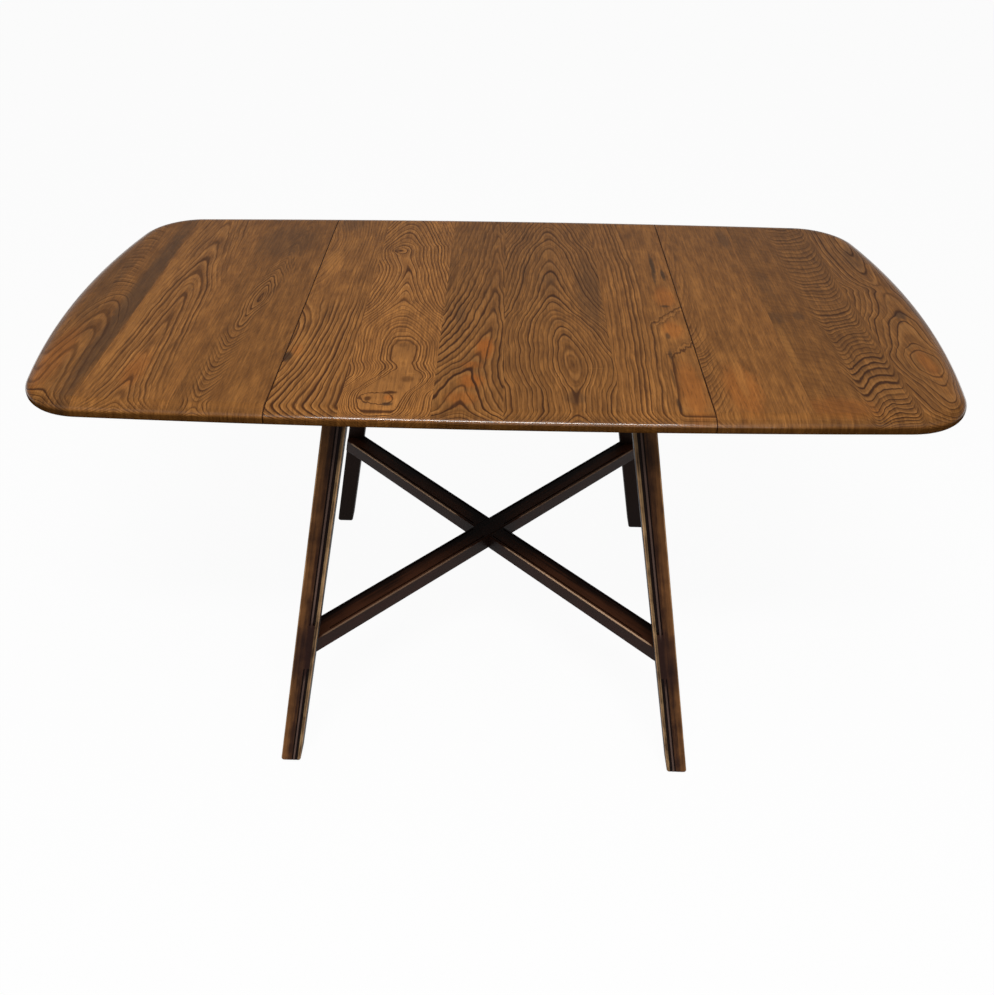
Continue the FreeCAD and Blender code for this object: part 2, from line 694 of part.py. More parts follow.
# Rails under the top
def make_rails(holes):
    """Front and back rails, two cross rails and the middle bearer."""
    ends = ("rail_bottom", "underside")
    x_low, x_high = (("0 - " + x, x) for x in (leg_inner_x(height) for height in ends))
    y_range = ("rail_line_y - rail_thickness / 2", "rail_line_y + rail_thickness / 2")
    web = tapered_block("back_rail_web", ends, (x_low, y_range), (x_high, y_range))
    tenon = box("back_rail_tenon", ("0 - leg_top_inner_x - tenon_length", "leg_top_inner_x + tenon_length"),
                ("rail_line_y - tenon_thickness / 2", "rail_line_y + tenon_thickness / 2"),
                ("rail_bottom + tenon_shoulder", "underside - tenon_shoulder"))
    back = cut("back_rail", fuse("back_rail_solid", [web, tenon]), [holes])
    front = mirrored("front_rail", back, Y_AXIS)

    ends = ("cross_rail_bottom", "underside")
    y_low, y_high = (("0 - " + y, y) for y in (leg_inner_y(height) for height in ends))
    x_range = ("cross_line_x - cross_rail_thickness / 2", "cross_line_x + cross_rail_thickness / 2")
    web = tapered_block("cross_rail_web", ends, (x_range, y_low), (x_range, y_high))
    inner_y = "(leg_top_outer_y - leg_top_depth)"
    tenon = box("cross_rail_tenon",
                ("cross_line_x - tenon_thickness / 2", "cross_line_x + tenon_thickness / 2"),
                ("0 - %s - tenon_length" % inner_y, "%s + tenon_length" % inner_y),
                ("cross_rail_bottom + tenon_shoulder", "underside - tenon_shoulder"))
    plain = fuse("cross_rail_solid", [web, tenon])
    right = cut("right_cross_rail", plain, loper_notches("right", "cross_line_x") + [holes])
    left = cut("left_cross_rail", mirrored("left_cross_rail_solid", plain, X_AXIS),
               loper_notches("left", "0 - cross_line_x") + [holes])

    end_y = "rail_line_y - rail_thickness / 2"
    beam = box("bearer_beam", ("0 - bearer_thickness / 2", "bearer_thickness / 2"),
               ("0 - (%s)" % end_y, end_y), ("rail_bottom", "underside"))
    notches = loper_notches("right_bearer", "0", "right") + loper_notches("left_bearer", "0", "left")
    bearer = cut("middle_bearer", beam, notches + [holes])
    return [front, back, left, right, bearer]


def loper_notches(name, middle_x, side=None):
    """The two notches that guide one leaf's lopers through a rail."""
    place = "%s_loper_y" % (side or name)
    half_x = "(cross_rail_thickness + bearer_thickness) / 2 + overrun"
    half_y = "loper_width / 2 + slide_gap"
    notches = []
    for row, sign in (("front", "0 - "), ("back", "")):
        y = sign + place
        notches.append(box("%s_%s_notch" % (name, row),
                           ("%s - (%s)" % (middle_x, half_x), "%s + %s" % (middle_x, half_x)),
                           ("%s - (%s)" % (y, half_y), "%s + %s" % (y, half_y)),
                           ("loper_bottom - slide_gap", "underside + overrun")))
    return notches


def leg_mortises():
    """Mortises in the back right leg for the two rails, and the bore for the stretcher's dowel."""
    grown_thickness = "(tenon_thickness / 2 + joint_gap)"
    mortises = [
        box("rail_mortise", ("leg_top_inner_x - overrun", "leg_top_inner_x + tenon_length + stop_gap"),
            ("rail_line_y - " + grown_thickness, "rail_line_y + " + grown_thickness),
            ("rail_bottom + tenon_shoulder - joint_gap", "underside - tenon_shoulder + joint_gap")),
        box("cross_rail_mortise",
            ("cross_line_x - " + grown_thickness, "cross_line_x + " + grown_thickness),
            ("leg_top_outer_y - leg_top_depth - overrun",
             "leg_top_outer_y - leg_top_depth + tenon_length + stop_gap"),
            ("cross_rail_bottom + tenon_shoulder - joint_gap", "underside - tenon_shoulder + joint_gap")),
    ]
    bore = turned("leg_dowel_bore", make_dowels("leg_bore", "joint_gap"), STRETCHER_ANGLE)
    return mortises + [bore]


# Lopers with a finger groove under the outer end and a stop peg near the inner end
def make_loper(side, row):
    sign = "" if side == "right" else "0 - "
    row_sign = "" if row == "back" else "0 - "
    name = "%s_%s" % (side, row)
    y = "%s%s_loper_y" % (row_sign, side)
    ends = [sign + "loper_inner_x", sign + "loper_outer_x"]
    if side == "left":
        ends.reverse()
    stick = box(name + "_stick", ends, (y + " - loper_width / 2", y + " + loper_width / 2"),
                ("loper_bottom", "loper_top"))
    outer_x = size("loper_outer_x") * (1 if side == "right" else -1)
    tip = doc.addObject("Part::Fillet", name + "_tip")
    tip.Base = stick
    upright = named_edges(stick, lambda edge: edge.BoundBox.ZLength > size("loper_depth") / 2
                          and abs(edge.BoundBox.XMin - outer_x) < size("loper_end_radius"))
    tip.Edges = fillet_list(upright, "loper_end_radius")
    finger_x = "%s(loper_outer_x - finger_groove_inset)" % sign
    finger = cylinder(name + "_finger_groove", "finger_groove_radius", "loper_width + 2 * overrun",
                      (finger_x, y + " - loper_width / 2 - overrun", "loper_bottom"), Y_AXIS)
    peg_x = sign + "stop_peg_x"
    bore = cylinder(name + "_peg_bore", "stop_peg_radius + running_gap",
                    "stop_peg_seat + stop_gap + overrun", (peg_x, y, "loper_bottom - overrun"))
    loper = cut(name + "_loper", tip, [finger, bore])
    peg = cylinder(name + "_stop_peg", "stop_peg_radius", "stop_peg_drop + stop_peg_seat",
                   (peg_x, y, "loper_bottom - stop_peg_drop"))
    return [loper, peg]


def top_screw_places():
    """Screws up through the cross rails, the long rails and the middle bearer."""
    z = size("top_screw_head_z")
    places = [(side * size("cross_line_x"), row * size("cross_rail_screw_y"), z)
              for side in (-1, 1) for row in (-1, 0, 1)]
    places += [(side * size("rail_screw_x"), row * size("rail_line_y"), z)
               for side in (-1, 1) for row in (-1, 1)]
    return places + [(0, 0, z)]


def build():
    """Make every piece; each is named as its file."""
    pieces = []
    blank = ease_joints(make_top_blank())
    hinges = make_hinges()
    screw = make_screw("top_screw", "top_screw", "top_screw_length")
    screw_hole = make_screw("top_screw_hole", "top_screw", "top_screw_length", "running_gap")
    top_holes = spread("top_screw_holes", screw_hole, top_screw_places())
    left_fixed_holes = mirrored("left_fixed_flap_holes", hinges["fixed_holes"], X_AXIS)
    left_moving_holes = mirrored("left_moving_flap_holes", hinges["moving_holes"], X_AXIS)
    centre_holes = group("centre_holes", [top_holes, hinges["fixed_holes"], left_fixed_holes])
    pieces += make_boards(blank, CENTRE_PANEL, centre_holes)
    pieces += make_boards(blank, LEFT_PANEL, left_moving_holes)
    pieces += make_boards(blank, RIGHT_PANEL, hinges["moving_holes"])

    for kind in ("pins", "fixed_flaps", "moving_flaps", "fixed_screws", "moving_screws"):
        right = hinges[kind]
        pieces += [right, mirrored(right.Name.replace("right", "left"), right, X_AXIS)]

    blanks = {"back_right": make_leg_blank()}
    blanks["back_left"] = mirrored("back_left_blank", blanks["back_right"], X_AXIS)
    blanks["front_right"] = mirrored("front_right_blank", blanks["back_right"], Y_AXIS)
    blanks["front_left"] = mirrored("front_left_blank", blanks["back_left"], Y_AXIS)
    back_right = cut("back_right_leg", blanks["back_right"], leg_mortises())
    back_left = mirrored("back_left_leg", back_right, X_AXIS)
    front_right = mirrored("front_right_leg", back_right, Y_AXIS)
    front_left = mirrored("front_left_leg", back_left, Y_AXIS)
    pieces += [back_right, back_left, front_right, front_left]

    crossing_screw = make_screw("stretcher_screw", "top_screw", "crossing_screw_length")
    crossing_hole = make_screw("stretcher_screw_hole", "top_screw", "crossing_screw_length", "running_gap")
    crossing = [(0, 0, size("stretcher_bottom"))]
    legs = {
        1: [blanks["back_right"], blanks["front_left"]],
        -1: [blanks["back_left"], blanks["front_right"]],
    }
    pieces += make_stretchers(legs, spread("crossing_hole", crossing_hole, crossing))
    pieces.append(spread("crossing_screw", crossing_screw, crossing))
    dowels = [turned("dowels_%d" % i, make_dowels("dowel_%d" % i, "0"), sign + STRETCHER_ANGLE)
              for i, sign in enumerate(("", "-1 * "))]
    pieces.append(group("stretcher_dowels", dowels))

    pieces += make_rails(top_holes)
    pieces.append(spread("top_screws", screw, top_screw_places()))
    for side in ("left", "right"):
        for row in ("front", "back"):
            pieces += make_loper(side, row)
    return pieces


def check_and_write(pieces):
    """Stop on any failed object or bad shape, then write one file for each piece."""
    doc.recompute()
    for thing in doc.Objects:
        if "Invalid" in thing.State or "Error" in thing.State:
            raise RuntimeError("%s failed: %s" % (thing.Name, thing.State))
    os.makedirs("parts", exist_ok=True)
    for piece in pieces:
        shape = piece.Shape
        if shape.isNull() or not shape.isValid() or not shape.Solids:
            raise RuntimeError("%s has no sound solid" % piece.Label)
    for piece in pieces:
        piece.Shape.exportStep("parts/%s.step" % piece.Label)
        print("%-28s %2d solids %10.0f mm3" % (piece.Label, len(piece.Shape.Solids), piece.Shape.Volume))


check_and_write(build())
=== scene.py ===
"""Looks of a drop-leaf dining table in dark stained elm, both leaves raised."""

import json
import math

import bpy
from mathutils import Matrix, Vector

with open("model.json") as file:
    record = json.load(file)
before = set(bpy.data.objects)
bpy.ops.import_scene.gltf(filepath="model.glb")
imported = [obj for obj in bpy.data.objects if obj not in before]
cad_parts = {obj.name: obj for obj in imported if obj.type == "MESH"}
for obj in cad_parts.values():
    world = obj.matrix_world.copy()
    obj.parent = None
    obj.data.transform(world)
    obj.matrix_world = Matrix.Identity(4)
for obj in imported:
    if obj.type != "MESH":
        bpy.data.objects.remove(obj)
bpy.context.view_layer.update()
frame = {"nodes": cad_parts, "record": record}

# Lengths on the table and of the camera are in millimetres, as in the model; Blender's own are in
# metres
MM = 0.001


def srgb(red, green, blue):
    """A display colour, 0 to 255, as the linear colour a shader takes."""
    shares = (channel / 255 for channel in (red, green, blue))
    linear = [s / 12.92 if s <= 0.04045 else ((s + 0.055) / 1.055) ** 2.4 for s in shares]
    return (*linear, 1.0)


class Field:
    """A number that varies over a surface: a node socket with arithmetic."""

    def __init__(self, tree, socket):
        self.tree = tree
        self.socket = socket

    def math(self, operation, *others):
        node = self.tree.nodes.new("ShaderNodeMath")
        node.operation = operation
        for slot, value in zip(node.inputs, (self, *others)):
            plug(self.tree, slot, value)
        return Field(self.tree, node.outputs[0])

    def __add__(self, other):
        return self.math("ADD", other)

    def __sub__(self, other):
        return self.math("SUBTRACT", other)

    def __rsub__(self, other):
        return self.math("MULTIPLY", -1).math("ADD", other)

    def __mul__(self, other):
        return self.math("MULTIPLY", other)

    def __truediv__(self, other):
        return self.math("DIVIDE", other)

    __radd__ = __add__
    __rmul__ = __mul__

    def size(self):
        return self.math("ABSOLUTE")

    def least(self, other):
        return self.math("MINIMUM", other)

    def most(self, other):
        return self.math("MAXIMUM", other)

    def smooth(self, low, high):
        """0 at low, 1 at high, with a soft start and end."""
        node = self.tree.nodes.new("ShaderNodeMapRange")
        node.interpolation_type = "SMOOTHSTEP"
        plug(self.tree, node.inputs["Value"], self)
        node.inputs["From Min"].default_value = low
        node.inputs["From Max"].default_value = high
        return Field(self.tree, node.outputs["Result"])

    def along(self, points):
        """A smooth curve through (place, value) points."""
        places = [point[0] for point in points]
        values = [point[1] for point in points]
        start, span = min(places), max(places) - min(places)
        low, rise = min(values), (max(values) - min(values)) or 1
        node = self.tree.nodes.new("ShaderNodeFloatCurve")
        curve = node.mapping.curves[0]
        shares = [((place - start) / span, (value - low) / rise) for place, value in points]
        curve.points[0].location = shares[0]
        curve.points[1].location = shares[-1]
        for share in shares[1:-1]:
            curve.points.new(*share)
        for point in curve.points:
            point.handle_type = "AUTO_CLAMPED"
        node.mapping.update()
        plug(self.tree, node.inputs["Value"], (self - start) / span)
        return Field(self.tree, node.outputs["Value"]) * rise + low


def plug(tree, slot, value):
    """Link a field to a slot, or set the slot to a plain value."""
    if isinstance(value, Field):
        tree.links.new(value.socket, slot)
    else:
        slot.default_value = value


class Surface:
    """One material under construction, with the surface's own coordinates in millimetres."""

    def __init__(self, name):
        self.material = bpy.data.materials.new(name)
        self.material.use_nodes = True
        self.tree = self.material.node_tree
        self.shader = self.tree.nodes["Principled BSDF"]
        place = self.tree.nodes.new("ShaderNodeTexCoord")
        split = self.tree.nodes.new("ShaderNodeSeparateXYZ")
        self.tree.links.new(place.outputs["Object"], split.inputs[0])
        self.x, self.y, self.z = (Field(self.tree, out) / MM for out in split.outputs)

    def noise(self, x, y, z, detail=2.0, roughness=0.5):
        """Noise about 0, from roughly -0.5 to 0.5, with a grain of one unit."""
        join = self.tree.nodes.new("ShaderNodeCombineXYZ")
        for slot, value in zip(join.inputs, (x, y, z)):
            plug(self.tree, slot, value)
        node = self.tree.nodes.new("ShaderNodeTexNoise")
        node.inputs["Scale"].default_value = 1.0
        node.inputs["Detail"].default_value = detail
        node.inputs["Roughness"].default_value = roughness
        self.tree.links.new(join.outputs[0], node.inputs["Vector"])
        return Field(self.tree, node.outputs["Fac"]) - 0.5

    def grain(self, width, length, layer, **kind):
        """Noise of a width and a length along the boards of the top; each layer has its own."""
        return self.noise(self.x / width, self.y / length, layer, **kind)

    def chance(self, number):
        """A steady random share for each whole number."""
        node = self.tree.nodes.new("ShaderNodeTexWhiteNoise")
        node.noise_dimensions = "1D"
        plug(self.tree, node.inputs["W"], number)
        return Field(self.tree, node.outputs["Value"])

    def patch(self, x, y, half_width, half_length):
        """1 at a place on the top, falling softly to 0 round it."""
        across = (self.x - x) / half_width
        along = (self.y - y) / half_length
        return ((across * across + along * along) * -1).math("EXPONENT")

    def mix(self, share, first, second):
        """The first colour where the share is 0, the second where it is 1."""
        node = self.tree.nodes.new("ShaderNodeMix")
        node.data_type = "RGBA"
        colour_slots = [slot for slot in node.inputs if slot.type == "RGBA"]
        plug(self.tree, node.inputs["Factor"], share)
        plug(self.tree, colour_slots[0], first)
        plug(self.tree, colour_slots[1], second)
        return Field(self.tree, next(out for out in node.outputs if out.type == "RGBA"))

    def shade(self, colour, factor):
        """A colour made lighter or darker by a field."""
        node = self.tree.nodes.new("ShaderNodeVectorMath")
        node.operation = "SCALE"
        plug(self.tree, node.inputs[0], colour)
        plug(self.tree, node.inputs["Scale"], factor)
        return Field(self.tree, node.outputs[0])

    def finish(self, colour, roughness, height, bump_depth, specular):
        """Connect colour, roughness, shine and a bump with a depth in millimetres."""
        plug(self.tree, self.shader.inputs["Base Color"], colour)
        plug(self.tree, self.shader.inputs["Roughness"], roughness)
        plug(self.tree, self.shader.inputs["Specular IOR Level"], specular)
        bump = self.tree.nodes.new("ShaderNodeBump")
        bump.inputs["Strength"].default_value = 1.0
        bump.inputs["Distance"].default_value = bump_depth * MM
        plug(self.tree, bump.inputs["Height"], height)
        self.tree.links.new(bump.outputs[0], self.shader.inputs["Normal"])
        return self.material


def dress(node, material):
    """Give a model node a material."""
    mesh = frame["nodes"][node].data
    mesh.materials.clear()
    mesh.materials.append(material)


# Camera, fitted to the photograph
CAMERA_PLACE = (12.5, -1510.1, 1404.3)
CAMERA_YAW, CAMERA_PITCH, CAMERA_ROLL = -2.070, 35.733, 0.125
FOCAL_PIXELS = 986.9
CENTRE_SHIFT_PIXELS = 30
IMAGE_SIDE = 995
SENSOR_WIDTH = 36


def make_camera():
    yaw, pitch, roll = (math.radians(a) for a in (CAMERA_YAW, CAMERA_PITCH, CAMERA_ROLL))
    ahead = Vector((math.sin(yaw) * math.cos(pitch), math.cos(yaw) * math.cos(pitch),
                    -math.sin(pitch)))
    right = Vector((math.cos(yaw), -math.sin(yaw), 0))
    up = right.cross(ahead)
    tilted_right = math.cos(roll) * right + math.sin(roll) * up
    tilted_up = math.cos(roll) * up - math.sin(roll) * right
    lens = bpy.data.cameras.new("camera")
    lens.sensor_width = SENSOR_WIDTH
    lens.lens = FOCAL_PIXELS * SENSOR_WIDTH / IMAGE_SIDE
    lens.shift_x = CENTRE_SHIFT_PIXELS / IMAGE_SIDE
    camera = bpy.data.objects.new("camera", lens)
    turn = Matrix((tilted_right, tilted_up, -ahead)).transposed().to_4x4()
    camera.matrix_world = Matrix.Translation(Vector(CAMERA_PLACE) * MM) @ turn
    bpy.context.scene.collection.objects.link(camera)
    bpy.context.scene.camera = camera


# Studio in metres and watts: pale floor, soft lamps, white surroundings
FLOOR_HALF = 30.0
FLOOR_GREY = (0.9, 0.9, 0.9, 1)
FLOOR_ROUGHNESS = 0.9
FLOOR_GLOW = 0.95
WHITE = (1, 1, 1, 1)
# The dome brightens upwards; the wall is a brighter part of it, low behind the table
DOME_LOW, DOME_HIGH = 0.1, 0.5
DOME_RISE = (0.45, 1.0)
WALL_GLOW = 0.38
WALL_BEHIND, WALL_HEIGHT = (0.3, 0.9), (0.42, 0.12)


def seen_directly(tree, rays):
    """1 for light paths that show a thing itself, 0 for those that only light other things."""
    path = tree.nodes.new("ShaderNodeLightPath")
    seen = Field(tree, path.outputs["Is Camera Ray"])
    for ray in rays:
        seen = seen.most(Field(tree, path.outputs[ray]))
    return seen


def blend_shaders(tree, share, first, second, output):
    """Send two shaders to the output: the first where the share is 0, the second where it is 1."""
    blend = tree.nodes.new("ShaderNodeMixShader")
    plug(tree, blend.inputs[0], share)
    tree.links.new(first.outputs[0], blend.inputs[1])
    tree.links.new(second.outputs[0], blend.inputs[2])
    tree.links.new(blend.outputs[0], tree.nodes[output].inputs["Surface"])


def make_floor():
    mesh = bpy.data.meshes.new("floor")
    corners = [(x * FLOOR_HALF, y * FLOOR_HALF, 0) for x, y in ((-1, -1), (1, -1), (1, 1), (-1, 1))]
    mesh.from_pydata(corners, [], [(0, 1, 2, 3)])
    floor = bpy.data.objects.new("floor", mesh)
    bpy.context.scene.collection.objects.link(floor)
    material = bpy.data.materials.new("floor")
    material.use_nodes = True
    tree = material.node_tree
    shader = tree.nodes["Principled BSDF"]
    shader.inputs["Base Color"].default_value = FLOOR_GREY
    shader.inputs["Roughness"].default_value = FLOOR_ROUGHNESS
    shader.inputs["Specular IOR Level"].default_value = 0.0
    glow = tree.nodes.new("ShaderNodeEmission")
    seen = seen_directly(tree, ("Is Glossy Ray", "Is Transmission Ray"))
    blend_shaders(tree, seen * FLOOR_GLOW, shader, glow, "Material Output")
    mesh.materials.append(material)


def make_world():
    """A dome that lights from above, with a pale wall behind the table; seen as plain white."""
    world = bpy.data.worlds.new("studio")
    bpy.context.scene.world = world
    world.use_nodes = True
    tree = world.node_tree
    place = tree.nodes.new("ShaderNodeTexCoord")
    split = tree.nodes.new("ShaderNodeSeparateXYZ")
    tree.links.new(place.outputs["Generated"], split.inputs[0])
    behind, height = Field(tree, split.outputs["Y"]), Field(tree, split.outputs["Z"])
    wall = behind.smooth(*WALL_BEHIND) * height.smooth(*WALL_HEIGHT) * WALL_GLOW
    dome = tree.nodes["Background"]
    dome.inputs["Color"].default_value = WHITE
    strength = height.smooth(*DOME_RISE) * (DOME_HIGH - DOME_LOW) + DOME_LOW + wall
    plug(tree, dome.inputs["Strength"], strength)
    white = tree.nodes.new("ShaderNodeBackground")
    white.inputs["Color"].default_value = WHITE
    white.inputs["Strength"].default_value = 1.0
    blend_shaders(tree, seen_directly(tree, ("Is Transmission Ray",)), dome, white, "World Output")


def make_lamp(name, place, target, width, depth, power):
    lamp = bpy.data.lights.new(name, "AREA")
    lamp.shape = "RECTANGLE"
    lamp.size = width
    lamp.size_y = depth
    lamp.energy = power
    holder = bpy.data.objects.new(name, lamp)
    holder.location = place
    holder.rotation_euler = (Vector(target) - Vector(place)).to_track_quat("-Z", "Y").to_euler()
    bpy.context.scene.collection.objects.link(holder)


def make_studio():
    """Floor, dome and lamps; the nose of the front edge mirrors one of these to the camera."""
    make_floor()
    make_world()
    make_lamp("overhead", (-0.2, -1.3, 2.9), target=(0, 0, 0.7), width=1.0, depth=1.0, power=11)
    make_lamp("nose", (0.03, -1.9, 3.2), target=(0, -0.3, 0.7), width=1.7, depth=0.35, power=58)
    make_lamp("front", (0.6, -3.2, 1.9), target=(0, 0, 0.4), width=1.6, depth=1.6, power=19)


# Elm boards of the top
FRONT, BACK = -380, 380
TOP_HEIGHT = 720

EARLY_WOOD = srgb(64, 32, 8)
LATE_WOOD = srgb(121, 76, 34)
PALE_WOOD = srgb(168, 112, 54)
WARM_WOOD = srgb(164, 95, 36)
LINE_WOOD = srgb(184, 128, 70)
GREY_WOOD = srgb(90, 62, 38)
DARK_MINERAL = srgb(56, 40, 26)
JOINT_DARK = srgb(44, 18, 18)
# The leaves meet the centre at this distance from the middle, with a dark line of this start and
# full strength
JOINT_PLACE = 306
JOINT_LINE = (1.6, 0.6)

# Bends of the lines: width, length and height of the waves
BROAD_BEND, FINE_BEND, LENGTH_BEND = (40, 90, 9), (10, 40, 2), (22, 60, 14)
# A core fades out at this distance from the spine, from none to full
CORE_FADE = (75, 20)
# A zigzag takes the place of the smile towards the front
ZIGZAG_FRONT = (-20, -150)
# A ceiling cuts the rings off along a slanting, ragged line
CEILING_MIDDLE, CEILING_SLANT, CEILING_RAGGED = 285, 1.2, 34
# Shares of a ring at which its dark line of early wood starts and ends, and then its pale line of
# late wood
EARLY_START, EARLY_END = (0.0, 0.07), (0.46, 0.2)
LATE_START, LATE_END = (0.55, 0.88), (1.0, 0.94)

# Edge of the top, as depths under its face: the slope, the nose, the side and the underside
# The slope gets painted shade between the first two depths, and is smoother between the next two
SLOPE_PAINTED_SHADE, SLOPE_SHINE = (0.5, 4), (1, 4)
NOSE_START, NOSE_END = (4.5, 5.5), (9.5, 7.5)
# On the sheer side the wood is darker, partly from stain and partly as painted shade
SHEER_SIDE = (7.0, 11.0)
UNDERSIDE = (17, 20.5)
FLAT_FACE = (4, 1)
NOSE_COAT, NOSE_COAT_ROUGHNESS = 0.6, 0.13
TOP_BUMP, TOP_SPECULAR = 0.1, 0.2
# Painted shade: the far part of the top is a little darker
BACK_PART, BACK_PAINTED_SHADE = (0, 340), 0.03


def tips(eye, front=(), back=()):
    """Rings along a spine as (place, rings): 0 at the eye, 1 more at each tip of an arch."""
    points = [(place, ring + 1) for ring, place in enumerate(front)]
    points.reverse()
    points.append((eye, 0))
    points += [(place, ring + 1) for ring, place in enumerate(back)]
    return points


